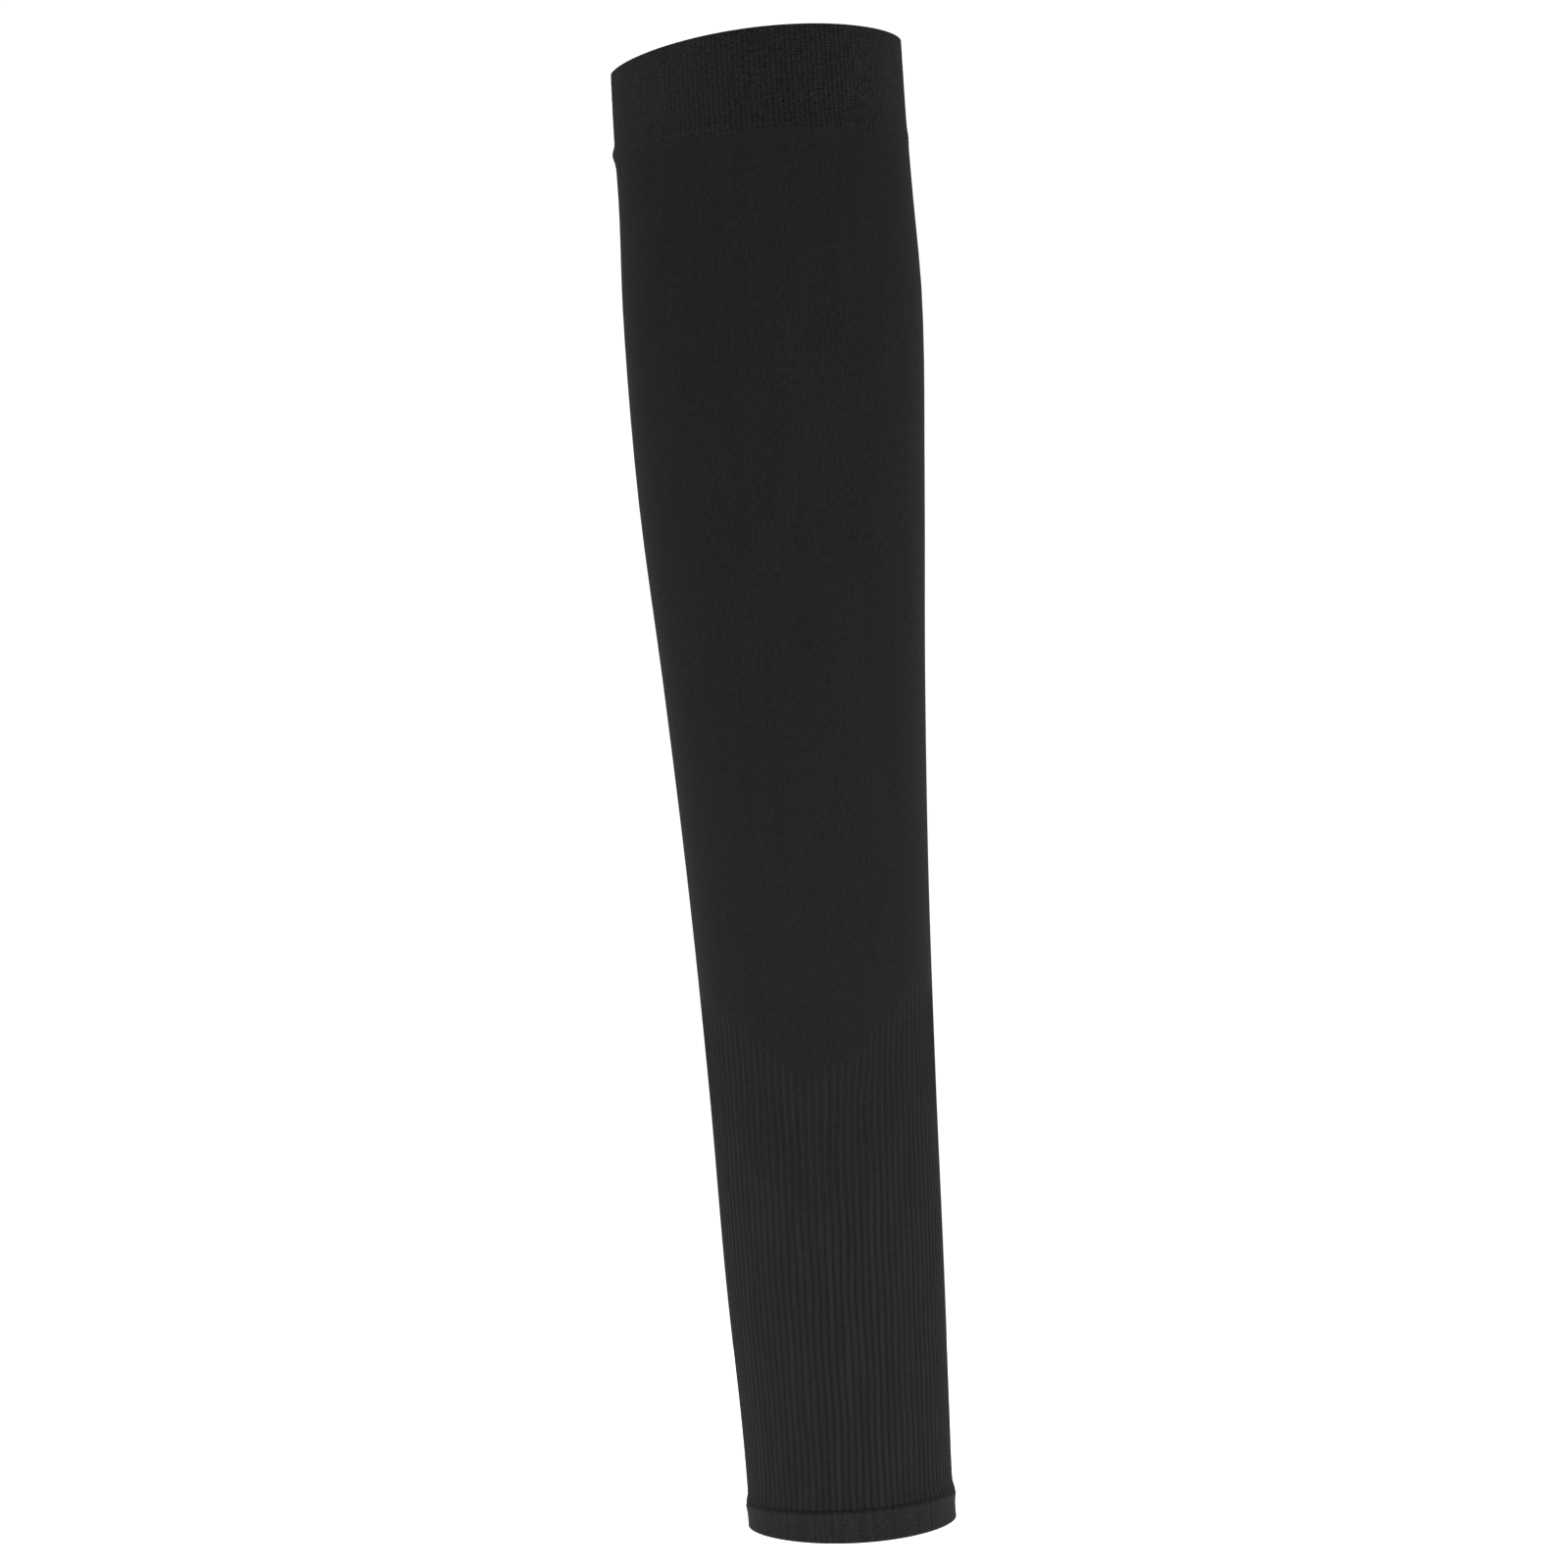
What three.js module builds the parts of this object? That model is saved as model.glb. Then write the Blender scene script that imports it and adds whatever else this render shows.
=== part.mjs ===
// A seamless knitted compression sleeve for the arm, in the shape that a straight arm gives it.
// Millimetres, +Z up. The sleeve runs down the Z axis: the origin is the middle of the upper
// opening, the wrist is below it, and the front of the sleeve faces -Y.

import * as THREE from 'three';
import { LoftGeometry } from 'three/addons/geometries/LoftGeometry.js';

// Lengths down the sleeve, from the middle of the upper opening
const LENGTH = 420;
const CUFF_SEAM = 27.2;
const HEM_SEAM = 412.1;

// The upper rim rises to the right and to the front, and the wrist rim drops to both. The hem is
// taller at the front, where its seam rises
const RIM_RISE_RIGHT = 2.3;
const RIM_RISE_FRONT = 0.9;
const WRIST_RIM_DROP = 0.5;
const HEM_RISE_FRONT = 0.8;

// Cloth: the tube is one layer, the cuff and the hem are turned over and two layers thick
const TUBE_WALL = 1.5;
const BAND_WALL = 2.4;
const FOLD_HEIGHT = 0.8;
const SEAM_GAP = 0.3;

// How far each turned band stands proud of the outline, from its seam on. A soft ridge runs along
// the cuff just above its seam, the hem starts with a roll, and the tube flares to meet them
const CUFF_FLARE = 0.35;
const HEM_FLARE = 0.6;
const CUFF_SIDE = [
  { fromSeam: SEAM_GAP / 2, proud: CUFF_FLARE },
  { fromSeam: 1.2, proud: 0.5 },
  { fromSeam: 2.9, proud: 0.25 },
  { fromSeam: 4.5, proud: 0 },
];
const HEM_SIDE = [
  { fromSeam: SEAM_GAP / 2, proud: HEM_FLARE },
  { fromSeam: 0.8, proud: 0.75 },
  { fromSeam: 1.6, proud: 0.65 },
  { fromSeam: 4, proud: 0.4 },
];

// Ribs of the forearm, below a V-shaped line whose tip is near the front
const RIBS = 94;
const RIB_DEPTH = 0.4;
const FINE_RIB_DEPTH = 0.25;
const V_TIP_DOWN = 291.5;
const V_TIP_TURN_DEG = -4;
const V_CLIMB_PER_DEG = 0.47;
const V_TIP_ROUNDING_DEG = 2;
const V_HEIGHT = 28.5;
const FINE_RIB_LENGTH = 38;
const RIB_TWIST_DEG = -6.5;

// How finely the rings and folds are divided
const TUBE_SIDES = 2 * RIBS;
const BAND_SIDES = 64;
const FOLD_STEPS = 6;

// The sleeve's outline: width and depth over the cloth, how far the section's middle lies to the
// right of the axis, and how much its sides are pinched (1 for an ellipse, more for a lens), at
// each distance down
const SECTIONS = [
  { place: 'upper rim', down: 0, width: 83.5, depth: 76, shift: -0.3, pinch: 1.4 },
  { place: 'cuff', down: 20, width: 83.8, depth: 76.5, shift: -0.4, pinch: 1.4 },
  { place: 'below the cuff', down: 40, width: 84.0, depth: 78, shift: -0.1, pinch: 1.3 },
  { place: 'upper arm', down: 72, width: 85.6, depth: 80, shift: -0.1, pinch: 1.2 },
  { place: 'above the elbow', down: 124, width: 82.0, depth: 78, shift: -0.9, pinch: 1.1 },
  { place: 'elbow', down: 180, width: 74.7, depth: 72, shift: -0.7, pinch: 1.1 },
  { place: 'below the elbow', down: 236, width: 68.8, depth: 66, shift: -0.4, pinch: 1.1 },
  { place: 'forearm', down: 293, width: 64.9, depth: 62, shift: -0.1, pinch: 1.1 },
  { place: 'lower forearm', down: 349, width: 62.4, depth: 58.5, shift: 0, pinch: 1.15 },
  { place: 'above the wrist', down: 391, width: 59.4, depth: 55.5, shift: 0.4, pinch: 1.2 },
  { place: 'wrist', down: 408, width: 58.6, depth: 55, shift: 0.4, pinch: 1.25 },
  { place: 'wrist rim', down: LENGTH, width: 58.8, depth: 55, shift: 0.5, pinch: 1.25 },
];
const OUTLINE_COLUMNS = ['width', 'depth', 'shift', 'pinch'];

const outline = new THREE.CubicInterpolant(
  SECTIONS.map((section) => section.down),
  SECTIONS.flatMap((section) => OUTLINE_COLUMNS.map((column) => section[column])),
  OUTLINE_COLUMNS.length,
);

const { degToRad, radToDeg, euclideanModulo, clamp } = THREE.MathUtils;

// Edges of the cloth: each gives the distance down at a turn round the sleeve, which starts at the
// front and goes to the right
const upperRim = (turn) => -RIM_RISE_RIGHT * Math.sin(turn) - RIM_RISE_FRONT * Math.cos(turn);
const cuffSeam = () => CUFF_SEAM;
const hemSeam = (turn) => HEM_SEAM - HEM_RISE_FRONT * Math.cos(turn);
const wristRim = (turn) => LENGTH + WRIST_RIM_DROP * (Math.sin(turn) + Math.cos(turn));

// The ribs start on a V with a rounded tip, whose arms climb round the arm and end level
function ribStart(turn) {
  const away = euclideanModulo(radToDeg(turn) - V_TIP_TURN_DEG + 180, 360) - 180;
  const climb = V_CLIMB_PER_DEG * (Math.hypot(away, V_TIP_ROUNDING_DEG) - V_TIP_ROUNDING_DEG);
  return V_TIP_DOWN - Math.min(climb, V_HEIGHT);
}

// A second V, parallel to the first, is where the fine ribs turn broad and deep
const broadRibStart = (turn) => ribStart(turn) + FINE_RIB_LENGTH;

// The ribs wind slightly to the left on their way to the wrist
function ribTwist(turn, down) {
  const share = (down - ribStart(turn)) / (HEM_SEAM - ribStart(turn));
  return degToRad(RIB_TWIST_DEG) * clamp(share, 0, 1);
}

// A ring of points round the sleeve, inside its outline by an inset that every second point
// deepens by the depth of a rib
function ring(sides, down, inset, ribDepth = 0) {
  return Array.from({ length: sides }, (_, index) => {
    const turn = (2 * Math.PI * index) / sides;
    const low = down(turn);
    const around = turn + ribTwist(turn, low);
    const inside = inset + (index % 2) * ribDepth;
    const [width, depth, shift, pinch] = outline.evaluate(low);
    const front = Math.cos(around);
    const x = shift + (width / 2 - inside) * Math.sin(around);
    const y = -(depth / 2 - inside) * Math.sign(front) * Math.abs(front) ** pinch;
    return new THREE.Vector3(x, y, -low);
  });
}

// A closed wall through rings that go up its outside and down its inside
function wallGeometry(rings) {
  return new LoftGeometry([...rings, rings[0]]);
}

// A band of cloth turned over at its rim: its side from the seam on, a pressed fold along the rim
// (half an ellipse), and the inner layer back to the seam
function turnedBand(seam, rim, side) {
  const towardsRim = Math.sign(rim(0) - seam(0));
  const fromSeam = (distance, inside) =>
    ring(BAND_SIDES, (turn) => seam(turn) + towardsRim * distance, inside);
  const fromRim = (distance, inside) =>
    ring(BAND_SIDES, (turn) => rim(turn) - towardsRim * distance, inside);

  const rings = side.map((row) => fromSeam(row.fromSeam, -row.proud));
  const { proud } = side.at(-1);
  for (let step = 0; step <= FOLD_STEPS; step++) {
    const sweep = (Math.PI * step) / FOLD_STEPS;
    const distance = FOLD_HEIGHT * (1 - Math.sin(sweep));
    rings.push(fromRim(distance, (BAND_WALL / 2) * (1 - Math.cos(sweep)) - proud));
  }
  rings.push(fromSeam(SEAM_GAP / 2, BAND_WALL - proud));
  return wallGeometry(towardsRim < 0 ? rings : rings.reverse());
}

// The tube between the two seams, in zones that each run from one edge to the next
function sleeveTube() {
  const tubeTop = (turn) => cuffSeam(turn) + SEAM_GAP / 2;
  const tubeEnd = (turn) => hemSeam(turn) - SEAM_GAP / 2;
  const zones = {
    plain: [tubeTop, ribStart],
    fine: [ribStart, broadRibStart],
    broad: [broadRibStart, tubeEnd],
    inside: [tubeTop, tubeEnd],
  };

  // Rings up the outside, then down the inside: share is the way down the zone
  const rows = [
    { zone: 'broad', share: 1, inset: -HEM_FLARE },
    { zone: 'broad', share: 0.97, ribDepth: RIB_DEPTH },
    { zone: 'broad', share: 0.66, ribDepth: RIB_DEPTH },
    { zone: 'broad', share: 0.33, ribDepth: RIB_DEPTH },
    { zone: 'broad', share: 0.04, ribDepth: RIB_DEPTH },
    { zone: 'fine', share: 0.96, ribDepth: FINE_RIB_DEPTH },
    { zone: 'fine', share: 0.08, ribDepth: FINE_RIB_DEPTH },
    { zone: 'plain', share: 1 },
    { zone: 'plain', share: 0.82 },
    { zone: 'plain', share: 0.64 },
    { zone: 'plain', share: 0.46 },
    { zone: 'plain', share: 0.3 },
    { zone: 'plain', share: 0.16 },
    { zone: 'plain', share: 0.06 },
    { zone: 'plain', share: 0.008 },
    { zone: 'plain', share: 0.004, inset: -CUFF_FLARE / 3 },
    { zone: 'plain', share: 0, inset: -CUFF_FLARE },
    { zone: 'inside', share: 0, inset: TUBE_WALL },
    { zone: 'inside', share: 0.13, inset: TUBE_WALL },
    { zone: 'inside', share: 0.3, inset: TUBE_WALL },
    { zone: 'inside', share: 0.5, inset: TUBE_WALL },
    { zone: 'inside', share: 0.75, inset: TUBE_WALL },
    { zone: 'inside', share: 1, inset: TUBE_WALL },
  ];

  const rings = rows.map(({ zone, share, inset = 0, ribDepth = 0 }) => {
    const [start, end] = zones[zone];
    const down = (turn) => start(turn) + share * (end(turn) - start(turn));
    return ring(TUBE_SIDES, down, inset, ribDepth);
  });
  return wallGeometry(rings);
}

function knitPiece(name, geometry, color) {
  const material = new THREE.MeshStandardMaterial({ color, roughness: 0.9, metalness: 0 });
  const mesh = new THREE.Mesh(geometry, material);
  mesh.name = name;
  return mesh;
}

const upperCuff = turnedBand(cuffSeam, upperRim, CUFF_SIDE);
const wristHem = turnedBand(hemSeam, wristRim, HEM_SIDE);

const sleeve = new THREE.Group();
sleeve.name = 'arm_sleeve';
sleeve.add(
  knitPiece('upper_cuff', upperCuff, '#212123'),
  knitPiece('sleeve_tube', sleeveTube(), '#242427'),
  knitPiece('wrist_hem', wristHem, '#2a2a2d'),
);

export default sleeve;
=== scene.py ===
# %% [markdown]
# # A knitted arm sleeve
#
# The real sleeve is a seamless tube of black nylon and elastane yarn, knitted round on a small
# circular machine. Its upper end is turned over into a double cuff of grid knit, its wrist end
# into a narrow hem, and the forearm is ribbed below a V-shaped line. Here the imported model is
# loaded as a fixed frame, and each of its three plain walls is replaced by a wall of cloth that
# has real ribs and stitches.

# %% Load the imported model
import math

import bpy
import numpy as np
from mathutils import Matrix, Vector


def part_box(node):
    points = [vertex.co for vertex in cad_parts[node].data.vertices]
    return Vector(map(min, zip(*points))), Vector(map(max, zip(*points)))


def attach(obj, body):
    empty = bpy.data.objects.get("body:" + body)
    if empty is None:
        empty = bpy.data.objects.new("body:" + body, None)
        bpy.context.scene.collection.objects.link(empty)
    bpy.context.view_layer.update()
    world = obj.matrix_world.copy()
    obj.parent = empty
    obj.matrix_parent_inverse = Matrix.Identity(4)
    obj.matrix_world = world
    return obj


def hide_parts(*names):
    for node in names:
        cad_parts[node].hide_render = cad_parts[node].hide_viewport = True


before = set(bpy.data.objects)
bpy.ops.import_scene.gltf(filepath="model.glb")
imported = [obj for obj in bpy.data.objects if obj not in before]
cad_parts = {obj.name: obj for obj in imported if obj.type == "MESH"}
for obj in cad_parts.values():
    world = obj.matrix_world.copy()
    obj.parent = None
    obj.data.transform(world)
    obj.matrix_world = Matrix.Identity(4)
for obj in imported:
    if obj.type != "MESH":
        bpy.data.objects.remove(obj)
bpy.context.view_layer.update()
print("nodes of the packed model:", sorted(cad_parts))

# %% [markdown]
# ## The sizes of the sleeve
#
# A new piece lies exactly on the wall that it replaces only if both are made from the same sizes.
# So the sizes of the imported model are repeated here, in millimetres: the lengths down the sleeve,
# the slants of its rims and seams, and a table of sections from the upper arm to the wrist. They
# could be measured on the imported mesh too, but a short table is easier to read and to change.

# %% Sizes down the sleeve and sections across it, in millimetres
MM = 0.001

LENGTH = 420.0
CUFF_SEAM = 27.2
HEM_SEAM = 412.1
RIM_RISE_RIGHT = 2.3
RIM_RISE_FRONT = 0.9
WRIST_RIM_DROP = 0.5
HEM_RISE_FRONT = 0.8

TUBE_WALL = 1.5
BAND_WALL = 2.4
FOLD_HEIGHT = 0.8

# Distance down, width and depth over the cloth, how far the section's middle lies to the right of
# the axis, and how much its sides are pinched: 1 is an ellipse, and more is a lens
SECTIONS = np.array(
    [
        (0, 83.5, 76.0, -0.3, 1.40),
        (20, 83.8, 76.5, -0.4, 1.40),
        (40, 84.0, 78.0, -0.1, 1.30),
        (72, 85.6, 80.0, -0.1, 1.20),
        (124, 82.0, 78.0, -0.9, 1.10),
        (180, 74.7, 72.0, -0.7, 1.10),
        (236, 68.8, 66.0, -0.4, 1.10),
        (293, 64.9, 62.0, -0.1, 1.10),
        (349, 62.4, 58.5, 0.0, 1.15),
        (391, 59.4, 55.5, 0.4, 1.20),
        (408, 58.6, 55.0, 0.4, 1.25),
        (LENGTH, 58.8, 55.0, 0.5, 1.25),
    ],
    dtype=[(column, float) for column in ("down", "width", "depth", "shift", "pinch")],
)
print(f"{len(SECTIONS)} sections over {LENGTH:.0f} mm, from the upper rim to the wrist rim")

# %% [markdown]
# ## A point of the sleeve
#
# Every piece of cloth here is a surface of two parameters: the turn round the arm, which starts at
# the front and goes to the right, and the distance down the arm. A cubic curve through the table
# gives the section at any distance, and the turn gives the place on it. The same thing could be
# lofted with Blender's own curves, but as a formula it takes whole arrays at once, and ribs and
# stitches are then only a small change of the inset.

# %% The outline as a formula
def outline_at(down):
    """Width, depth, shift and pinch at each distance down: a cubic between two sections, whose
    slope at a section is the mean of the slopes of the straight lines to its two neighbours."""
    stations = SECTIONS["down"]
    low = np.clip(down, stations[0], stations[-1])
    above = np.clip(np.searchsorted(stations, low, side="right") - 1, 0, len(stations) - 2)
    span = np.diff(stations)[above]
    share = (low - stations[above]) / span
    ease = share**2 * (3 - 2 * share)
    leave = share * (1 - share) ** 2 * span
    arrive = share**2 * (share - 1) * span
    for column in ("width", "depth", "shift", "pinch"):
        value = SECTIONS[column]
        straight = np.diff(value) / np.diff(stations)
        slope = np.concatenate([straight[:1], (straight[1:] + straight[:-1]) / 2, straight[-1:]])
        along = value[above] + ease * (value[above + 1] - value[above])
        yield along + leave * slope[above] + arrive * slope[above + 1]


def sleeve_point(turn, down, inset):
    """Places in metres: the section at that distance down, made smaller by the inset and taken
    round by the turn. Sideways it follows the sine, and from back to front the cosine raised to
    the section's pinch."""
    width, depth, shift, pinch = outline_at(down)
    front = np.cos(turn)
    x = shift + (width / 2 - inset) * np.sin(turn)
    y = -(depth / 2 - inset) * np.sign(front) * np.abs(front) ** pinch
    return MM * np.stack([x, y, -down], axis=-1)


def smooth_step(value):
    """0 below 0, 1 above 1, and an even S-curve between them."""
    share = np.clip(value, 0, 1)
    return share**2 * (3 - 2 * share)


def turns_of(columns):
    """The turns of evenly spaced columns, once round the sleeve."""
    return np.linspace(0, 2 * np.pi, columns, endpoint=False)


# The edges of the cloth, rims and seams: the distance down at each turn, tilted by the sine of the
# turn to the right and by its cosine to the front
def upper_rim(turn):
    return -RIM_RISE_RIGHT * np.sin(turn) - RIM_RISE_FRONT * np.cos(turn)


def cuff_seam(turn):
    return CUFF_SEAM + 0 * turn


def hem_seam(turn):
    return HEM_SEAM - HEM_RISE_FRONT * np.cos(turn)


def wrist_rim(turn):
    return LENGTH + WRIST_RIM_DROP * (np.sin(turn) + np.cos(turn))


front_and_right = np.array([0, np.pi / 2])
print("upper rim at the front and the right, mm down:", upper_rim(front_and_right).round(2))

# %% [markdown]
# ## From a grid to a closed wall of cloth
#
# A grid of points whose rows go up the outside and down the inside, and whose last row and column
# meet the first, is a closed wall with no hole and no loose edge. Its corners carry two UV maps.
# One counts stitches, so that a knit follows the cloth however it turns. The other lays the whole
# grid out flat once, which is the map that the export bakes through. An attribute says how high
# each point stands in the knit's relief, from 0 in a groove to 1 on a crest, and by it the finish
# paints shade in the grooves and light on the crests.

# %% Put a grid of points into a mesh
STITCH_MAP = "stitches"
BAKE_MAP = "OFBake"
# The relief attribute, by which the finish paints shade in the grooves and light on the crests
RELIEF_SHADING = "relief"


def cloth_wall(name, points, relief, wales, courses, finish):
    """A closed wall from a grid of points: a face joins columns c and c+1 of rows r and r+1, and
    the grid wraps round both ways. wales is the number of stitches once round, and courses the
    number of stitches down to each point."""
    rows, columns = points.shape[:2]
    row, column = np.indices((rows, columns))
    corner_row = np.stack([row, row, row + 1, row + 1], axis=-1)
    corner_column = np.stack([column, column + 1, column + 1, column], axis=-1)
    corner = (corner_row % rows) * columns + corner_column % columns

    mesh = bpy.data.meshes.new(name)
    mesh.vertices.add(rows * columns)
    mesh.vertices.foreach_set("co", points.astype(np.float32).ravel())
    mesh.loops.add(corner.size)
    mesh.loops.foreach_set("vertex_index", corner.astype(np.int32).ravel())
    mesh.polygons.add(rows * columns)
    mesh.polygons.foreach_set("loop_start", np.arange(0, corner.size, 4, dtype=np.int32))
    mesh.update(calc_edges=True)
    mesh.shade_smooth()

    maps = {
        STITCH_MAP: (corner_column * wales / columns, courses.ravel()[corner]),
        BAKE_MAP: (corner_column / columns, corner_row / rows),
    }
    for map_name, (u, v) in maps.items():
        layer = mesh.uv_layers.new(name=map_name)
        layer.uv.foreach_set("vector", np.stack([u, v], axis=-1).astype(np.float32).ravel())
    height = mesh.attributes.new(RELIEF_SHADING, "FLOAT", "POINT")
    height.data.foreach_set("value", relief.astype(np.float32).ravel())

    mesh.materials.append(finish)
    piece = bpy.data.objects.new(name, mesh)
    bpy.context.scene.collection.objects.link(piece)
    print(f"{name}: {rows} rows of {columns} points, {2 * rows * columns} triangles")
    return piece


# %% [markdown]
# ## Black nylon knit
#
# The yarn is fine nylon with elastane, dyed black. It is matte, because a knit scatters light in
# all directions, and it is lighter towards its outline, where one looks along the fibres that
# stand off the surface: that is the sheen of cloth. Image textures could show the stitches, but a
# formula on the stitch map has no repeat and no resolution. One small function adds each node, and
# three more make a knit: its stitches, its unevenness and its finish.

# %% Colours and nodes
def linear(hex_colour):
    """An sRGB hex colour as linear red, green, blue and full alpha, by the sRGB curve."""
    levels = [int(hex_colour[place : place + 2], 16) / 255 for place in (1, 3, 5)]
    curve = [v / 12.92 if v <= 0.04045 else ((v + 0.055) / 1.055) ** 2.4 for v in levels]
    return (*curve, 1.0)


def add_node(tree, kind, inputs, **settings):
    """Adds a node with its settings. An input that is given a socket is linked to it, and any
    other input takes the value."""
    node = tree.nodes.new(kind)
    for setting, value in settings.items():
        setattr(node, setting, value)
    for key, value in inputs.items():
        if isinstance(value, bpy.types.NodeSocket):
            tree.links.new(value, node.inputs[key])
        else:
            node.inputs[key].default_value = value
    return node


print("sRGB #808080 as linear light:", round(linear("#808080")[0], 3))

# %% The height of the stitches
LOOP_SWELL = 0.15


def loop_height(tree, stitches):
    """Height of the knit, from 0 to 1, on the stitch map. Each wale is a row of loops whose two legs
    lean to each other: across a wale the height is a raised cosine, and down it a cosine that the
    lean of the legs shifts."""
    count = add_node(tree, "ShaderNodeSeparateXYZ", {0: stitches})
    wale, course = count.outputs[0], count.outputs[1]
    wale_turn = add_node(tree, "ShaderNodeMath", {0: wale, 1: 2 * math.pi}, operation="MULTIPLY")
    wave = add_node(tree, "ShaderNodeMath", {0: wale_turn.outputs[0]}, operation="COSINE")
    hump = add_node(
        tree, "ShaderNodeMath", {0: wave.outputs[0], 1: 0.5, 2: 0.5}, operation="MULTIPLY_ADD"
    )
    off_middle = add_node(tree, "ShaderNodeMath", {0: wale, 1: 0.5}, operation="PINGPONG")
    lean = add_node(tree, "ShaderNodeMath", {0: course, 1: off_middle.outputs[0]}, operation="ADD")
    loop_turn = add_node(
        tree, "ShaderNodeMath", {0: lean.outputs[0], 1: 2 * math.pi}, operation="MULTIPLY"
    )
    loop = add_node(tree, "ShaderNodeMath", {0: loop_turn.outputs[0]}, operation="COSINE")
    swell = add_node(
        tree,
        "ShaderNodeMath",
        {0: loop.outputs[0], 1: LOOP_SWELL, 2: 1 - LOOP_SWELL},
        operation="MULTIPLY_ADD",
    )
    height = add_node(
        tree, "ShaderNodeMath", {0: hump.outputs[0], 1: swell.outputs[0]}, operation="MULTIPLY"
    )
    return height.outputs[0]


print(f"a loop is {1 - 2 * LOOP_SWELL:.2f} as high at its ends as in its middle")

# %% The unevenness of the knit
STREAK_WIDTH = 5.0
STREAK_LENGTH = 25.0
STREAK_RELIEF = 0.14


def uneven_relief(tree, stitches, dash):
    """Relief to add to that of the mesh. Tension is never quite even: faint streaks run down the
    sleeve, and single wales show as short dashes where their yarn is looser or tighter. Both are
    noise about zero, long streaks in millimetres and dashes in stitches. dash says how many wales
    and courses one dash covers, and how much relief it has."""
    place = add_node(tree, "ShaderNodeTexCoord", {})
    streak_scale = [1 / (size * MM) for size in (STREAK_WIDTH, STREAK_WIDTH, STREAK_LENGTH)]
    streak_place = add_node(
        tree, "ShaderNodeMapping", {"Vector": place.outputs["Object"], "Scale": streak_scale}
    )
    streaks = add_node(
        tree,
        "ShaderNodeTexNoise",
        {"Vector": streak_place.outputs[0], "Scale": 1.0, "Detail": 2.0},
    )
    dash_wales, dash_courses, dash_relief = dash
    dash_place = add_node(
        tree,
        "ShaderNodeMapping",
        {"Vector": stitches, "Scale": (1 / dash_wales, 1 / dash_courses, 1)},
    )
    dashes = add_node(
        tree,
        "ShaderNodeTexNoise",
        {"Vector": dash_place.outputs[0], "Scale": 1.0, "Detail": 1.0},
        noise_dimensions="2D",
    )
    streaked, dashed = (
        add_node(
            tree,
            "ShaderNodeMath",
            {0: noise.outputs[0], 1: relief, 2: -relief / 2},
            operation="MULTIPLY_ADD",
        )
        for noise, relief in ((streaks, STREAK_RELIEF), (dashes, dash_relief))
    )
    mottled = add_node(
        tree, "ShaderNodeMath", {0: streaked.outputs[0], 1: dashed.outputs[0]}, operation="ADD"
    )
    return mottled.outputs[0]


print(f"streaks of {STREAK_WIDTH:.0f} by {STREAK_LENGTH:.0f} mm")

# %% The finish of the knit
def nylon_knit(name, groove, crest, stitch_shade, stitch_depth, dash):
    """Matte nylon knit. The relief of the mesh, made uneven, runs from the groove colour to the crest
    colour, which paints shade in the grooves and light on the crests. stitch_shade says how much
    painted shade darkens the gaps between the wales. The stitches are bump, stitch_depth
    millimetres high."""
    material = bpy.data.materials.new(name)
    material.use_nodes = True
    tree = material.node_tree
    tree.nodes.clear()

    stitches = add_node(tree, "ShaderNodeUVMap", {}, uv_map=STITCH_MAP).outputs[0]
    height = loop_height(tree, stitches)
    bump = add_node(
        tree, "ShaderNodeBump", {"Strength": 1.0, "Distance": stitch_depth * MM, "Height": height}
    )
    relief = add_node(tree, "ShaderNodeAttribute", {}, attribute_name=RELIEF_SHADING)
    lit = add_node(
        tree,
        "ShaderNodeMath",
        {0: relief.outputs["Fac"], 1: uneven_relief(tree, stitches, dash)},
        operation="ADD",
        use_clamp=True,
    )
    # Painted shade and light: the groove colour where the relief is low, the crest colour where it is
    # high
    yarn = add_node(
        tree,
        "ShaderNodeMix",
        {0: lit.outputs[0], 6: linear(groove), 7: linear(crest)},
        data_type="RGBA",
    )
    # Painted shade in the gaps between the wales
    gap_shade = add_node(
        tree, "ShaderNodeMath", {0: height, 1: -stitch_shade, 2: stitch_shade}, operation="MULTIPLY_ADD"
    )
    colour = add_node(
        tree,
        "ShaderNodeMix",
        {0: gap_shade.outputs[0], 6: yarn.outputs[2], 7: linear("#000000")},
        data_type="RGBA",
    )
    shader = add_node(
        tree,
        "ShaderNodeBsdfPrincipled",
        {
            "Base Color": colour.outputs[2],
            "Roughness": 0.9,
            "IOR": 1.53,
            "Specular IOR Level": 0.08,
            "Sheen Weight": 0.03,
            "Sheen Roughness": 0.35,
            "Sheen Tint": linear("#d8dade"),
            "Normal": bump.outputs[0],
        },
    )
    add_node(tree, "ShaderNodeOutputMaterial", {"Surface": shader.outputs[0]})
    print(f"{name}: {len(tree.nodes)} nodes")
    return material


# %% The three knits
# The grid knit is the darkest and the most speckled, which makes the cuff look coarse and open: its
# dark groove colour is painted shadow in the pits
grid_knit = nylon_knit(
    "black_nylon_grid_knit",
    "#080808",
    "#262626",
    stitch_shade=0.1,
    stitch_depth=0.04,
    dash=(0.7, 0.8, 0.8),
)
# The rib knit is fine and even, so the plain cloth looks smooth and the ribs are soft lighter lines:
# the lighter crest colour is painted light on the ribs
rib_knit = nylon_knit(
    "black_nylon_rib_knit",
    "#0b0b0a",
    "#2d2d2f",
    stitch_shade=0.15,
    stitch_depth=0.06,
    dash=(0.9, 2.2, 0.32),
)
# The hem knit is a little lighter and less even than the tube
hem_knit = nylon_knit(
    "black_nylon_hem_knit",
    "#080808",
    "#2b2b2c",
    stitch_shade=0.15,
    stitch_depth=0.06,
    dash=(1.0, 1.2, 0.6),
)

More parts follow.
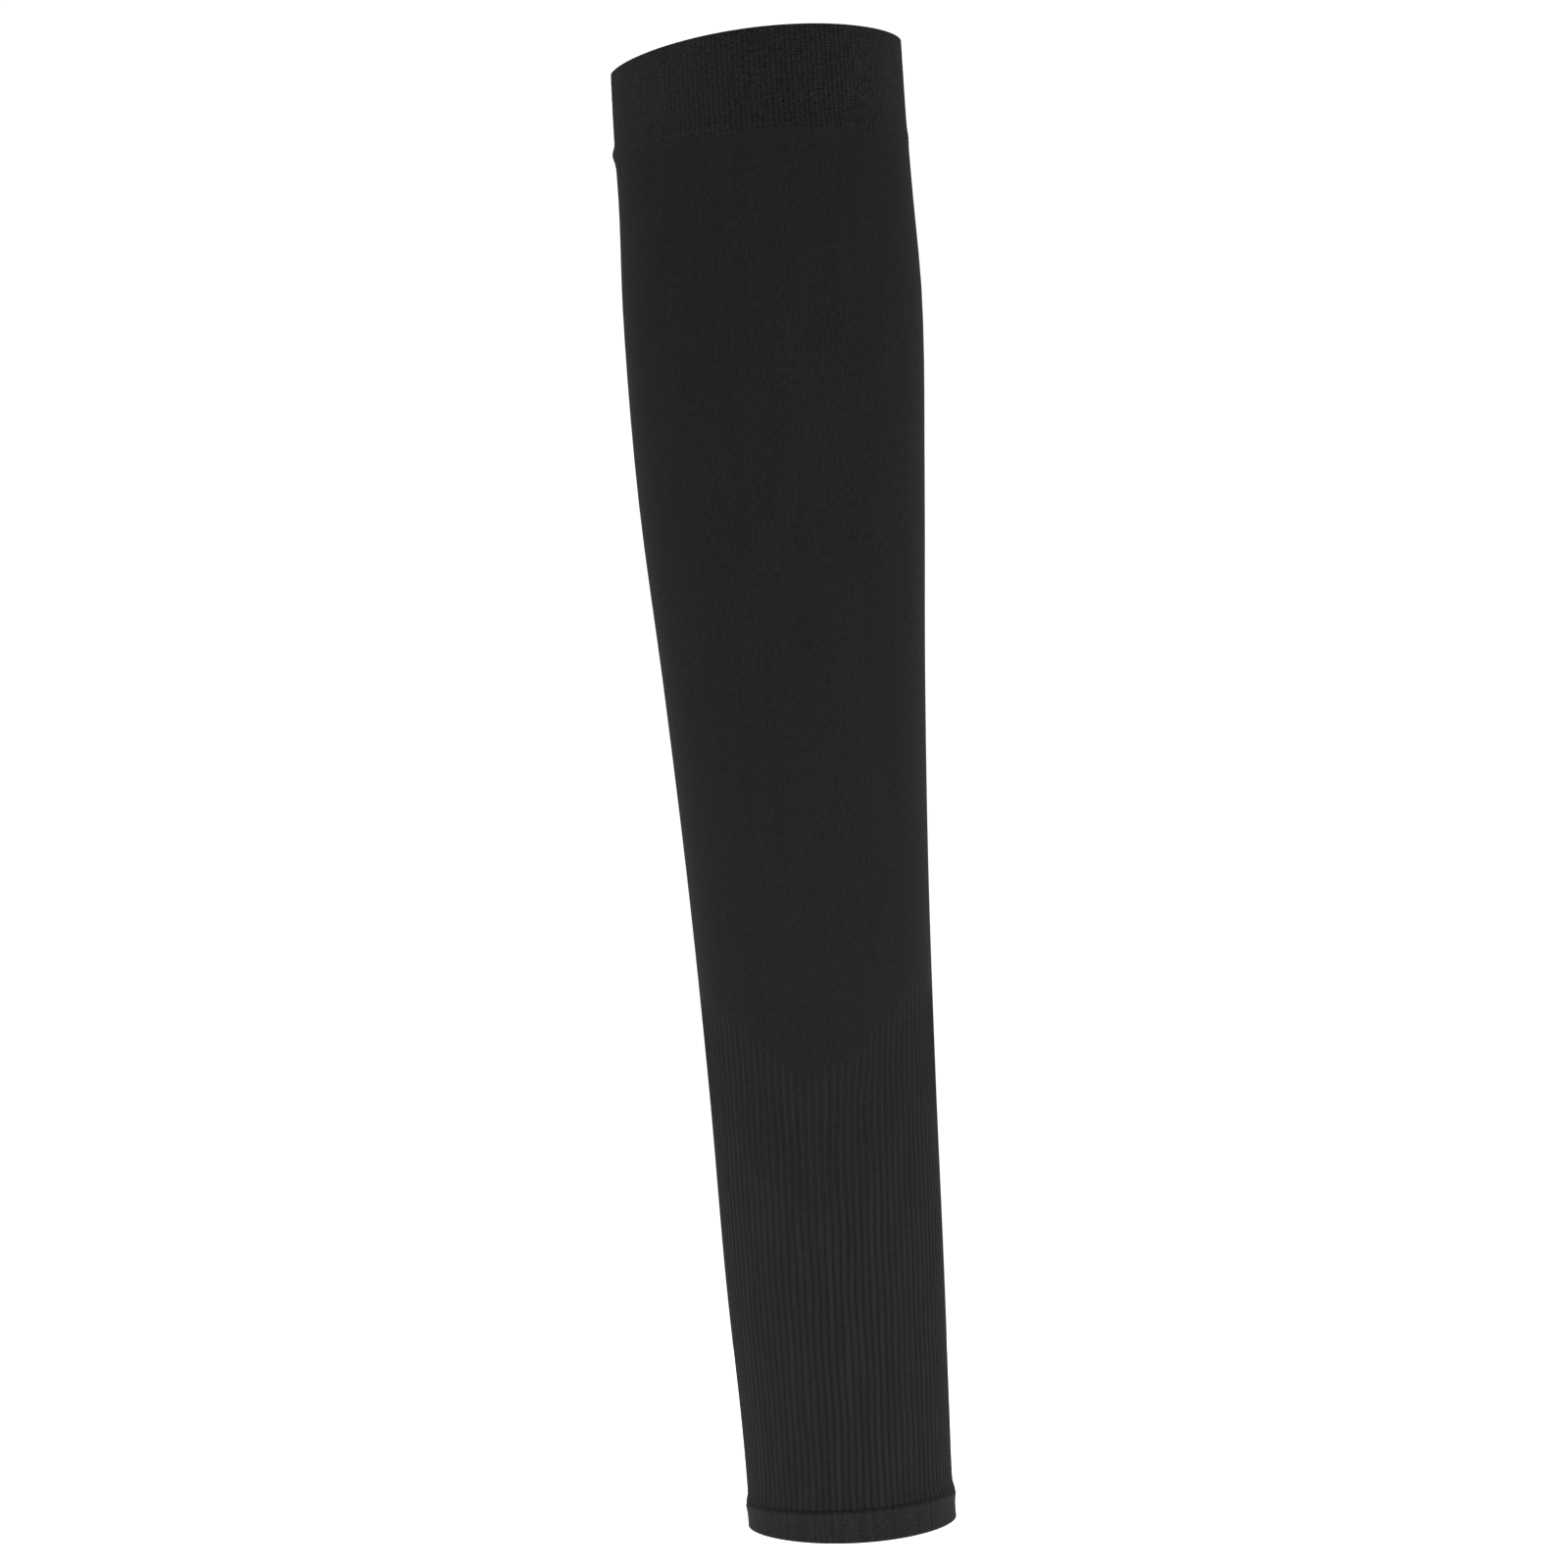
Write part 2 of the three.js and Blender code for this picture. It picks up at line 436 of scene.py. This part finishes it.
# %% [markdown]
# ## The turned bands: cuff and hem
#
# The cuff and the hem are the tube's own ends, turned in and linked to it, so each is two layers
# thick and has a pressed fold along its rim. A band is a profile, carried once round the sleeve: up
# its outside, over the fold and down its inside, which laps behind the end of the tube and so lets
# no light through the seam. Solidify could make the thickness, but the profile rounds the fold and
# gives each row its place in the knit.

# %% A band as a profile carried round the sleeve
FOLD_ROWS = 8
INNER_ROWS = 6
SLIT_ROWS = 3

# In millimetres
SLIT = 0.2
SEAM_SHOWN = 0.04
SEAM_LAP = 1.5
EDGE_ROW = 0.02  # a row this close to a cut edge keeps smooth shading from darkening the cloth


def turned_band(seam, rim, form, side, knit):
    """Points, relief and courses of a band of two layers. side says how far its outside stands
    proud at each turn and distance from the seam. The fold is half an ellipse, as wide as the band
    is thick. The inside goes straight back, a lap past the seam, and a narrow slit between the two
    layers goes up to the fold and down again. knit gives the height of the stitches, from 0 to 1,
    for a count of wales and courses."""
    turn = turns_of(form["wales"] * form["columns_per_wale"])
    towards_rim = np.sign(rim(0) - seam(0))
    height = towards_rim * (rim(turn) - seam(turn))
    edge = SEAM_SHOWN / 2
    flat_side = height - FOLD_HEIGHT - edge

    shares = np.linspace(0, 1, form["courses"] * form["rows_per_course"])
    side_rows = EDGE_ROW + shares[:, None] * (flat_side - EDGE_ROW)
    outside = edge + np.concatenate([0 * side_rows[:1], side_rows])
    sweep = np.linspace(0, np.pi, FOLD_ROWS + 2)[1:-1, None]
    fold = height - FOLD_HEIGHT * (1 - np.sin(sweep))
    inside = edge + flat_side - (flat_side + edge + SEAM_LAP) * np.linspace(0, 1, INNER_ROWS)[:, None]
    slit_up = edge + flat_side * np.linspace(0, 1, SLIT_ROWS)[:, None]
    slit_down = slit_up[::-1]
    along = np.concatenate([outside, fold, inside, slit_up, slit_down])

    middle = BAND_WALL / 2
    depths = [
        middle * (1 - np.cos(sweep)) + 0 * fold,
        BAND_WALL + 0 * inside,
        middle + SLIT / 2 + 0 * slit_up,
        middle - SLIT / 2 + 0 * slit_down,
    ]
    behind = np.concatenate(depths) - side(turn, height)
    flat_inset = np.concatenate([-side(turn, outside), behind])
    out_of_sight = 0 * np.concatenate([inside, slit_up, slit_down])
    on_fold = np.cos(sweep).clip(0) + 0 * fold
    shown = np.concatenate([1 + 0 * outside, on_fold, out_of_sight])

    wale = turn * form["wales"] / (2 * np.pi) + 0 * along
    course = along / form["course"]
    stitch = knit(wale, course)
    inset = flat_inset + form["stitch_depth"] * shown * (1 - stitch)
    points = sleeve_point(turn + 0 * along, seam(turn) + towards_rim * along, inset)
    relief = form["plain_relief"] + shown * (stitch - form["plain_relief"])
    # The outside has to run up the sleeve, so the rows of a band below its seam are turned round
    order = -int(towards_rim)
    return points[::order], relief[::order], course[::order]


print(f"a band is {BAND_WALL} mm thick and laps {SEAM_LAP} mm behind the tube")

# %% [markdown]
# ## The cuff
#
# The cuff is knitted in a grid: upright wales and level courses stand out, and small dark pits lie
# between them. A bump texture could show them, but the pits are deep enough to shade, so they are
# made in the mesh. No two stitches are alike: seeded tables of random numbers give each crossing a
# height and each pit a depth of its own, which keeps the grid from looking printed. The grid is
# deepest a little to the right of the front, where the arm stretches the cloth least, and near there
# its colour is darkened as painted shade of the deeper pits.
# Just above its seam the turned edge makes a soft ridge, which fades out on the tube.

# %% How much of its relief the knit keeps
RELAXED_TURN_DEG = 38.0
RELAXED_WIDTH_DEG = 28.0
STRETCHED_SHARE = 0.63


def degrees_past(turn, mark_deg):
    """Degrees round the sleeve from a mark to each turn, from -180 to 180."""
    return (np.degrees(turn) - mark_deg + 180) % 360 - 180


def bell(turn, middle_deg, width_deg):
    """1 at one turn of the sleeve, and falling off to both sides by a bell curve of that width."""
    return np.exp(-((degrees_past(turn, middle_deg) / width_deg) ** 2))


def relaxed(turn):
    """The share of its relief that the knit keeps: all to the right of the front, where the cloth is
    stretched least, and an even share elsewhere."""
    return STRETCHED_SHARE + (1 - STRETCHED_SHARE) * bell(turn, RELAXED_TURN_DEG, RELAXED_WIDTH_DEG)


print("relief kept at the front and the right:", relaxed(front_and_right).round(2))

# %% The cuff's sizes and stitches
CUFF = {
    "wales": 176,
    "columns_per_wale": 4,
    "course": 0.85,
    "courses": 33,
    "rows_per_course": 3,
    "stitch_depth": 0.25,
    "plain_relief": 0.5,
}

# Lengths in millimetres, and relief from 0 to 1
CUFF_RIDGE = 0.5
CUFF_RIDGE_LEFT = 0.3
CUFF_RIDGE_HALF = 3.3
CUFF_RIDGE_UP = 1.2
CUFF_STRETCHED_RELIEF = 0.61
CUFF_SHADE = 0.2
CUFF_SHADE_TURN_DEG = 14.0
CUFF_SHADE_WIDTH_DEG = 37.0

SPARE_COURSES = 4  # for the stitches that go over the fold
LARGEST_STITCH = 0.66
cuff_random = np.random.default_rng(11)
CUFF_STITCHES = (CUFF["courses"] + SPARE_COURSES, CUFF["wales"])
CROSSING_HEIGHTS = cuff_random.uniform(0.0, LARGEST_STITCH, CUFF_STITCHES)
PIT_DEPTHS = cuff_random.uniform(0.0, LARGEST_STITCH, CUFF_STITCHES)


def cuff_side(turn, from_seam):
    """How far the cloth stands proud at a distance up from the cuff's seam: a raised cosine just
    above the seam, fuller at the left."""
    share = np.clip(np.abs(from_seam - CUFF_RIDGE_UP) / CUFF_RIDGE_HALF, 0, 1)
    ridge = CUFF_RIDGE - CUFF_RIDGE_LEFT * np.sin(turn)
    return ridge * (0.5 + 0.5 * np.cos(np.pi * share))


def grid_stitches(wale, course):
    """Wales and courses cross on whole numbers: there stands a bump, the squared cosine across times
    the squared cosine along. Halfway between lies a pit, which is the same in squared sines. Both
    are counted from the cloth's middle height, each with its own size. A little to the right of the
    front the height sinks by a bell: this darkens the colour as painted shade of the pits there, and
    sets the mesh a little deeper."""
    rows, wales = CUFF_STITCHES
    bump_row = np.clip(np.rint(course).astype(int), 0, rows - 1)
    bump_column = np.rint(wale).astype(int) % wales
    pit_row = np.clip(np.floor(course).astype(int), 0, rows - 1)
    pit_column = np.floor(wale).astype(int) % wales
    bump = (np.cos(np.pi * wale) * np.cos(np.pi * course)) ** 2
    pit = (np.sin(np.pi * wale) * np.sin(np.pi * course)) ** 2
    uneven = CROSSING_HEIGHTS[bump_row, bump_column] * bump - PIT_DEPTHS[pit_row, pit_column] * pit
    turn = 2 * np.pi * wale / wales
    # Painted shade of the deeper pits, which also sets the mesh a little deeper
    sunk = CUFF_SHADE * bell(turn, CUFF_SHADE_TURN_DEG, CUFF_SHADE_WIDTH_DEG)
    return CUFF_STRETCHED_RELIEF - sunk + relaxed(turn) * uneven


print("ridge at the front and the right, mm:", cuff_side(front_and_right, CUFF_RIDGE_UP).round(2))

# %% Make the cuff
cuff_points, cuff_relief, cuff_courses = turned_band(
    cuff_seam, upper_rim, CUFF, cuff_side, grid_stitches
)
cuff = cloth_wall(
    "cuff_grid_knit", cuff_points, cuff_relief, CUFF["wales"], cuff_courses, grid_knit
)

# %% [markdown]
# ## The tube: plain knit, then ribs below a V
#
# The tube is one cloth. Above the V it is plain, and below it every fourth wale or so is a raised
# rib: first thin ridges with wide bands between, and from a second V on broad ribs with narrow
# valleys. The rows of the grid follow both lines, so that all ribs start evenly along them. The ribs
# could be a bump texture, but they show on the outline, so they are real.

# %% Where the ribs start, and how they wind
# Lengths in millimetres, and angles in degrees round the sleeve
RIBS = 94
V_TIP_DOWN = 291.5
V_TIP_TURN_DEG = -4.0
V_CLIMB_PER_DEG = 0.47
V_TIP_ROUNDING_DEG = 2.0
V_HEIGHT = 28.5
FINE_RIB_LENGTH = 38.0
RIB_TWIST_DEG = -6.5
FAN_DEG = 2.8
FAN_LENGTH = 14.0
FAN_WIDTH_DEG = 22.0
WOBBLE_DEG = 0.22
WOBBLE_LENGTHS = (47.0, 29.0)
WOBBLES_ROUND = (7, 11)


def top_fan(turn):
    """Degrees by which the top of a rib leans outwards. To the right of the V's tip it is a ramp times
    a falling exponential, which is largest a fan's width away, and to the left there is none."""
    right = np.maximum(degrees_past(turn, V_TIP_TURN_DEG) / FAN_WIDTH_DEG, 0)
    return FAN_DEG * right * np.exp(1 - right)


def rib_start(turn):
    """The V, where the tops of the ribs lie: its tip is rounded by a hyperbola, its arms climb evenly,
    and they end level."""
    away = degrees_past(turn, V_TIP_TURN_DEG) + top_fan(turn)
    climb = np.hypot(away, V_TIP_ROUNDING_DEG) - V_TIP_ROUNDING_DEG
    return V_TIP_DOWN - np.minimum(V_CLIMB_PER_DEG * climb, V_HEIGHT)


def rib_way(turn, down):
    """The turn that a rib has wound to: it winds evenly to the left on its way to the wrist, the lean
    of its top dies out below the V by half a bell, and two slow sines make it waver."""
    below = down - rib_start(turn)
    wound = RIB_TWIST_DEG * np.clip(below / (HEM_SEAM - rib_start(turn)), 0, 1)
    fan = top_fan(turn) * np.exp(-((below / FAN_LENGTH) ** 2))
    slow, quick = (2 * np.pi * down / length for length in WOBBLE_LENGTHS)
    slow_round, quick_round = (count * turn for count in WOBBLES_ROUND)
    wobble = WOBBLE_DEG * (np.sin(slow + slow_round) + np.sin(quick - quick_round))
    return turn + np.radians(wound + fan + wobble)


print("the V at the front and the right, mm down:", rib_start(front_and_right).round(1))

# %% The ribs' relief
# Depths and lengths in millimetres, widths in shares of a rib's spacing, and relief from 0 to 1, by
# which the finish paints shade in the valleys and light on the ridges
RIB_DEPTH = 0.4
FINE_RIB_DEPTH = 0.25
RIB_RISE = 4.6
RIB_LEAD = 1.7
BAND_SINK = 14.0
RIB_CHANGE = 10.0
RIDGE_WIDTH = 0.14
VALLEY_WIDTH = 0.16
UPPER_ARM_RELIEF = 0.32
LOWER_ARM_RELIEF = 0.375
LIGHTER_FROM, LIGHTER_LENGTH = 150.0, 110.0
RIDGE_RELIEF = 0.74
BAND_RELIEF = 0.36
RIB_RELIEF = 0.61
VALLEY_RELIEF = 0.325
STRENGTH_WAVE = 0.2

# For each rib: how far its top lies below the V, its strength, and the length and start of the
# wave by which that strength comes and goes
rib_random = np.random.default_rng(5)
RIB_START_SHIFT = rib_random.normal(0, 0.8, RIBS)
RIB_STRENGTH = rib_random.uniform(0.7, 1.0, RIBS)
RIB_WAVE_LENGTH = rib_random.uniform(25, 70, RIBS)
RIB_WAVE_START = rib_random.uniform(0, 1, RIBS)


def plain_relief(down):
    """Relief of the plain cloth: an S-curve that makes it lighter from the upper arm to the wrist."""
    return UPPER_ARM_RELIEF + (LOWER_ARM_RELIEF - UPPER_ARM_RELIEF) * smooth_step((down - LIGHTER_FROM) / LIGHTER_LENGTH)


def rib_relief(turn, down):
    """Inset in millimetres and relief from 0 to 1. A fine rib is a narrow bell on its middle line,
    and a broad one is full but for a narrow bell-shaped valley on either side. On the V each rib
    fades in by an S-curve, the cloth between sinks more slowly, and round the second V fine turns
    to broad. Along each rib a sine makes its strength come and go."""
    phase = turn * RIBS / (2 * np.pi)
    rib = np.rint(phase).astype(int)
    off_middle = np.abs(phase - rib)
    rib %= RIBS
    below = down - rib_start(turn) - RIB_START_SHIFT[rib]
    broad = smooth_step((below - FINE_RIB_LENGTH) / RIB_CHANGE + 0.5)
    ridge = np.exp(-((off_middle / RIDGE_WIDTH) ** 2))
    valley = np.exp(-(((0.5 - off_middle) / VALLEY_WIDTH) ** 2))

    fine_inset = FINE_RIB_DEPTH * (1 - ridge)
    inset = fine_inset + broad * (RIB_DEPTH * valley - fine_inset)
    wave = np.sin(2 * np.pi * (down / RIB_WAVE_LENGTH[rib] + RIB_WAVE_START[rib]))
    strength = RIB_STRENGTH[rib] * (1 - STRENGTH_WAVE + STRENGTH_WAVE * wave)
    fine_relief = BAND_RELIEF + ridge * (RIDGE_RELIEF - BAND_RELIEF)
    broad_relief = RIB_RELIEF - relaxed(turn) * valley * (RIB_RELIEF - VALLEY_RELIEF)
    ribbed = fine_relief + broad * (broad_relief - fine_relief)
    plain = plain_relief(down)
    return (
        inset * smooth_step(below / BAND_SINK),
        plain + strength * (ribbed - plain) * smooth_step((below + RIB_LEAD) / RIB_RISE),
    )


print("relief of the plain cloth, taut and eased:", plain_relief(np.array([0, LENGTH])))

# %% The rows of the tube
COLUMNS_PER_RIB = 10
ZONE_ROWS = {"broad": 32, "fine": 24, "plain": 30, "inside": 12}
LAP_ROOM = 0.4
INNER_CUT = SEAM_LAP + LAP_ROOM  # the tube's inside ends clear of the bands' laps


def crowded_ends(rows):
    """Shares from 0 to 1 that lie closer together towards both ends, by half a turn of a cosine."""
    return (1 - np.cos(np.linspace(0, np.pi, rows))) / 2


tube_turn = turns_of(RIBS * COLUMNS_PER_RIB)
end_of_rib = tube_turn + np.radians(RIB_TWIST_DEG)
tube_top = cuff_seam(tube_turn) + SEAM_SHOWN / 2
tube_end = hem_seam(end_of_rib) - SEAM_SHOWN / 2
last_row, first_row = tube_end - EDGE_ROW, tube_top + EDGE_ROW
fine_start = rib_start(tube_turn)
broad_start = fine_start + FINE_RIB_LENGTH
ZONE_EDGES = {
    "broad": (last_row, broad_start),
    "fine": (broad_start, fine_start),
    "plain": (fine_start, first_row),
    "inside": (tube_top + INNER_CUT, tube_end - INNER_CUT),
}
zone_downs = {}
for zone, (low_edge, high_edge) in ZONE_EDGES.items():
    share = crowded_ends(ZONE_ROWS[zone])[:, None]
    zone_downs[zone] = low_edge + share * (high_edge - low_edge)
outside_down = np.concatenate(
    [
        tube_end[None, :],
        zone_downs["broad"][:-1],
        zone_downs["fine"][:-1],
        zone_downs["plain"],
        tube_top[None, :],
    ]
)
inside_down = zone_downs["inside"]
print(f"{len(outside_down)} rows outside, {len(inside_down)} inside, {len(tube_turn)} points each")

# %% Make the tube
# In millimetres, but for the relief and the number of wales
HEM_FLARE = 0.65
HEM_FLARE_FRONT = 0.3
HEM_FLARE_LENGTH = 1.7
HEM_GROOVE = 0.1
HEM_GROOVE_LENGTH = 0.45
SEAM_SHADOW_RELIEF = 0.0
WALES = 3 * RIBS  # about 4 to a rib on the real sleeve, which is too fine to show
COURSE = 0.85  # about 0.6 on the real sleeve, drawn coarser for the same reason


def hem_flare(turn):
    """How far the tube flares out at the hem's seam: most at the sides, by the squared sine."""
    return HEM_FLARE_FRONT + (HEM_FLARE - HEM_FLARE_FRONT) * np.sin(turn) ** 2


rib_inset, rib_height = rib_relief(tube_turn + 0 * outside_down, outside_down)
from_hem = hem_seam(end_of_rib) - outside_down
in_groove = 1 - smooth_step(from_hem / HEM_GROOVE_LENGTH)
flare = hem_flare(end_of_rib) * np.exp(-((from_hem / HEM_FLARE_LENGTH) ** 2))
seam_inset = HEM_GROOVE * in_groove - flare - cuff_side(tube_turn, CUFF_SEAM - outside_down)
tube_inset = np.concatenate([rib_inset * (1 - in_groove) + seam_inset, TUBE_WALL + 0 * inside_down])
tube_down = np.concatenate([outside_down, inside_down])
# In the hem's groove the relief falls to the seam's value: a thin dark line, partly the seam's own
# darker yarn and partly painted shadow where the hem laps the tube
shown_relief = rib_height + in_groove * (SEAM_SHADOW_RELIEF - rib_height)
tube_relief = np.concatenate([shown_relief, plain_relief(inside_down)])
tube_points = sleeve_point(rib_way(tube_turn, tube_down), tube_down, tube_inset)
tube = cloth_wall(
    "sleeve_rib_knit", tube_points, tube_relief, WALES, tube_down / COURSE, rib_knit
)

# %% [markdown]
# ## The wrist hem
#
# The hem is the tube's own end, turned in and linked like the cuff, but narrow and in plain knit. A
# thin dark line marks its seam, partly the seam's own darker yarn and partly painted shadow in its
# colour, and just below it the turned layer rolls out a little before it lies flat. It could be a
# few more rows of the tube. As a band of its own it has its own stitches, and its seam and its fold
# are real edges that catch the light.

# %% The hem's sizes and stitches
HEM = {
    "wales": 2 * RIBS,
    "columns_per_wale": 4,
    "course": 0.7,
    "courses": 12,
    "rows_per_course": 3,
    "stitch_depth": 0.1,
    "plain_relief": 0.56,
}

# In millimetres
HEM_PROUD = 0.35
HEM_ROLL = 0.5
HEM_TILT = 0.05
HEM_ROLL_LENGTH = 2.4
HEM_RISE = 0.7

HEM_LOOP_SWELL = 0.25
hem_random = np.random.default_rng(23)
HEM_WALE_HEIGHTS = hem_random.uniform(-0.2, 0.25, HEM["wales"])


def hem_side(turn, from_seam):
    """How far the hem stands proud: it rises from the tube's flare by an S-curve to a roll, which is
    half a bell, and settles to its even side. At the right it tilts in towards the rim."""
    tilt = HEM_TILT * np.sin(turn)
    roll = (HEM_ROLL + tilt) * np.exp(-((from_seam / HEM_ROLL_LENGTH) ** 2))
    foot = hem_flare(turn) - HEM_GROOVE
    return foot + (HEM_PROUD - tilt + roll - foot) * smooth_step(from_seam / HEM_RISE)


def plain_stitches(wale, course):
    """Each wale stands higher or lower than the plain cloth by its own height: a squared cosine
    across it, which a cosine along it makes half as strong between two courses."""
    height = HEM_WALE_HEIGHTS[np.rint(wale).astype(int) % HEM["wales"]]
    along = 1 - HEM_LOOP_SWELL + HEM_LOOP_SWELL * np.cos(2 * np.pi * course)
    return HEM["plain_relief"] + height * np.cos(np.pi * wale) ** 2 * along


hem_height = MM * (wrist_rim(front_and_right) - hem_seam(front_and_right))
print("height of the hem at the front and the right, m:", hem_height.round(4))

# %% Make the hem
hem_points, hem_relief, hem_courses = turned_band(
    hem_seam, wrist_rim, HEM, hem_side, plain_stitches
)
hem = cloth_wall("wrist_hem_knit", hem_points, hem_relief, HEM["wales"], hem_courses, hem_knit)

# %% [markdown]
# ## What each piece stands for
#
# Each piece rides on the imported model's one body, and the imported node under it is hidden. The
# girth round the sleeve is added up at points down each piece, because the cloth was knitted round
# and never cut, and how far each piece reaches past its node's packed box is printed.

# %% Tie the pieces to the imported model
GIRTH_CHORDS = 360
GIRTHS_ALONG = 20

# For each node: its piece, slot and points, the mm down of both ends, and the layers of cloth
ROLES = {
    "upper_cuff": (cuff, "cuff_knit", cuff_points, upper_rim(0), CUFF_SEAM, 2),
    "sleeve_tube": (tube, "sleeve_knit", tube_points, CUFF_SEAM, HEM_SEAM, 1),
    "wrist_hem": (hem, "hem_knit", hem_points, HEM_SEAM, wrist_rim(0), 2),
}


def girth(down):
    """The way round the sleeve at a distance down, in metres, by adding up short chords."""
    ring = sleeve_point(turns_of(GIRTH_CHORDS), np.full(GIRTH_CHORDS, down), 0.0)
    return np.linalg.norm(ring - np.roll(ring, 1, axis=0), axis=1).sum()


for node, (piece, slot, points, high, low, layers) in ROLES.items():
    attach(piece, "root")
    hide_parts(node)
    girths = [girth(down) for down in np.linspace(high, low, GIRTHS_ALONG)]
    node_low, node_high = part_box(node)
    past_low = (np.array(node_low) - points.min(axis=(0, 1))) / MM
    past_high = (points.max(axis=(0, 1)) - np.array(node_high)) / MM
    print("  mm past the packed box, low and high corner:", past_low.round(2), past_high.round(2))

# %% [markdown]
# ## The studio
#
# A black cloth on white shows its form only by soft light from the sides and by its sheen. So a
# large soft light stands on either side, the right one a little in front, a third stands low in
# front, and a glowing paper floor lightens the wrist from below. One picture of a studio could light
# the sleeve too, but lamps with a size and a place can be changed one by one. The ground is white
# for the camera and dimmer as a light, which keeps the black deep.

# %% Floor
FLOOR_DOWN = 470.0
FLOOR_RADIUS = 700.0
FLOOR_SIDES = 96

floor_turn = turns_of(FLOOR_SIDES)
floor_points = MM * np.stack(
    [
        FLOOR_RADIUS * np.cos(floor_turn),
        FLOOR_RADIUS * np.sin(floor_turn),
        np.full(FLOOR_SIDES, -FLOOR_DOWN),
    ],
    axis=-1,
)
floor_mesh = bpy.data.meshes.new("pale_floor")
floor_mesh.from_pydata(floor_points.tolist(), [], [list(range(FLOOR_SIDES))])
floor_paper = bpy.data.materials.new("white_paper_lit_from_below")
floor_paper.use_nodes = True
paper = floor_paper.node_tree.nodes["Principled BSDF"]
paper.inputs["Base Color"].default_value = linear("#f4f4f4")
paper.inputs["Roughness"].default_value = 0.9
paper.inputs["Emission Color"].default_value = linear("#ffffff")
paper.inputs["Emission Strength"].default_value = 1.1
floor_mesh.materials.append(floor_paper)
floor = bpy.data.objects.new("pale_floor", floor_mesh)
bpy.context.scene.collection.objects.link(floor)
print(f"a floor {FLOOR_DOWN:.0f} mm below the upper opening")

# %% Lights, with places and sizes in millimetres
LIGHTS = np.array(
    [
        ("left_softbox", -900, 0, -150, 700, 1100, 1.5),
        ("right_softbox", 850, -350, -250, 700, 1100, 2.1),
        ("front_softbox", 0, -1300, -400, 900, 700, 7.0),
    ],
    dtype=[("name", "U20")] + [(c, float) for c in ("x", "y", "z", "width", "height", "watts")],
)
AIMED_AT = MM * np.array([0, 0, -200])
for light in LIGHTS:
    lamp = bpy.data.lights.new(str(light["name"]), "AREA")
    lamp.shape = "RECTANGLE"
    lamp.size = light["width"] * MM
    lamp.size_y = light["height"] * MM
    lamp.energy = light["watts"]
    holder = bpy.data.objects.new(str(light["name"]), lamp)
    stands_at = MM * np.array([light["x"], light["y"], light["z"]])
    holder.location = stands_at
    aim = Vector(AIMED_AT - stands_at)
    holder.rotation_euler = aim.to_track_quat("-Z", "Y").to_euler()
    holder.visible_camera = False
    bpy.context.scene.collection.objects.link(holder)

print(f"{len(LIGHTS)} soft lights of {LIGHTS['watts'].sum():.1f} watts together")

# %% Ground
AMBIENT = 0.62
SHOWN_WHITE = 1.1
world = bpy.data.worlds.new("white_ground")
bpy.context.scene.world = world
world.use_nodes = True
world.node_tree.nodes.clear()
ray = add_node(world.node_tree, "ShaderNodeLightPath", {})
strength = add_node(
    world.node_tree,
    "ShaderNodeMath",
    {0: ray.outputs["Is Camera Ray"], 1: SHOWN_WHITE - AMBIENT, 2: AMBIENT},
    operation="MULTIPLY_ADD",
)
ground = add_node(
    world.node_tree,
    "ShaderNodeBackground",
    {"Color": linear("#ffffff"), "Strength": strength.outputs[0]},
)
add_node(world.node_tree, "ShaderNodeOutputWorld", {"Surface": ground.outputs[0]})
bpy.context.scene.view_settings.view_transform = "Standard"
print(f"white ground, {AMBIENT / SHOWN_WHITE:.2f} as bright for the cloth as for the camera")

# %% [markdown]
# ## The camera
#
# The photograph was taken level with the middle of the sleeve, from about a metre away, with the
# sleeve leaning to the left by less than four degrees. The sleeve could be leaned as well, but it
# stays upright, so that its axis is the model's own, and the camera is rolled instead.

# %% Camera
CAMERA_AWAY = 1100.0
LOOKS_AT_RIGHT = -5.58
LOOKS_AT_DOWN = 208.10
CAMERA_ROLL_DEG = 3.674
SENSOR = 36.0
LENS = 88.45

camera_data = bpy.data.cameras.new("camera")
camera_data.sensor_width = SENSOR
camera_data.lens = LENS
camera = bpy.data.objects.new("camera", camera_data)
camera.location = (MM * LOOKS_AT_RIGHT, -MM * CAMERA_AWAY, -MM * LOOKS_AT_DOWN)
camera.rotation_euler = (math.radians(90), math.radians(CAMERA_ROLL_DEG), 0)
bpy.context.scene.collection.objects.link(camera)
bpy.context.scene.camera = camera
print(f"camera {CAMERA_AWAY:.0f} mm in front, rolled by {CAMERA_ROLL_DEG} degrees")
